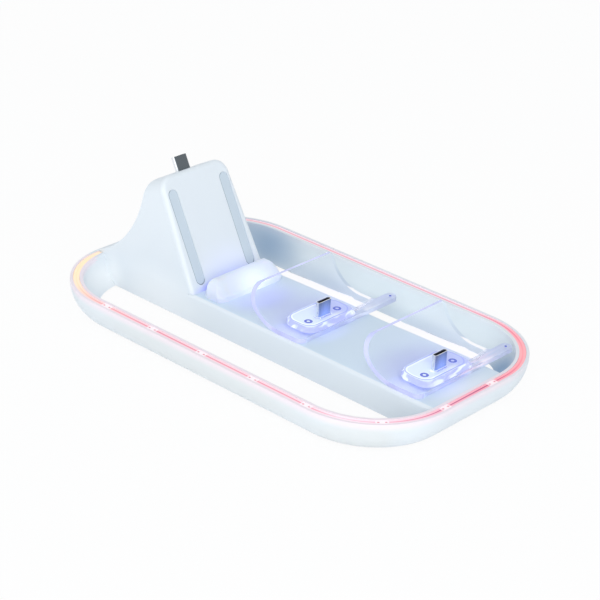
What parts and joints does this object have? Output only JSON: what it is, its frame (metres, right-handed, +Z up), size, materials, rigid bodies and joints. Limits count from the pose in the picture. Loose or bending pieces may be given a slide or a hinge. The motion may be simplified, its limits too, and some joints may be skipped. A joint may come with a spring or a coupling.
{
  "type": "controller charging dock",
  "caption": "Charging dock with a leaning light ring, a central beam, clear curved cradles round upright plugs, and a sloping tower with a plug on its top.",
  "frame": {"origin": "on the table, below the middle of the dock's bounding box", "axes": "+X along the dock, from the tower to the second cradle; +Y to the back, where the cradles overhang the beam; +Z up"},
  "size_m": [0.206, 0.122, 0.0648],
  "materials": {
    "housing": "fine satin moulded, very pale cool white",
    "panel": "fine satin moulded, very pale cool white",
    "cover": "satin moulded",
    "pads": "matte pale grey",
    "milky_plastic": "milky, lit from below",
    "clear_plastic": "polished clear, lit blue from below",
    "light_guide": "milky, lit by coloured lights",
    "flex": "thin film",
    "plug_steel": "drawn bright",
    "plug_black": "moulded",
    "board": "lacquered circuit board",
    "screws": "zinc plated",
    "feet": "matte"
  },
  "bodies": {
    "root": {"housing": "housing", "bottom_cover": "cover", "tower_panel": "panel", "pad_front": "pads", "pad_back": "pads", "rest_block": "milky_plastic", "light_guide": "light_guide", "light_flex": "flex", "cradle_1": "clear_plastic", "cradle_2": "clear_plastic", "plug_shell_1": "plug_steel", "plug_shell_2": "plug_steel", "plug_shell_tower": "plug_steel", "plug_insert_1": "plug_black", "plug_insert_2": "plug_black", "plug_insert_tower": "plug_black", "plug_board_1": "board", "plug_board_2": "board", "plug_board_tower": "board", "rest_light_board": "board", "main_board": "board", "inlet_shell": "plug_steel", "inlet_tongue": "plug_black", "ribbon_1": "flex", "ribbon_2": "flex", "ribbon_tower": "flex", "cradle_screws": "screws", "tower_board_screws": "screws", "main_board_screws": "screws", "cover_screws": "screws", "foot_front_left": "feet", "foot_front_right": "feet", "foot_back_left": "feet", "foot_back_right": "feet", "foot_beam_left": "feet", "foot_beam_right": "feet"}
  },
  "joints": []
}
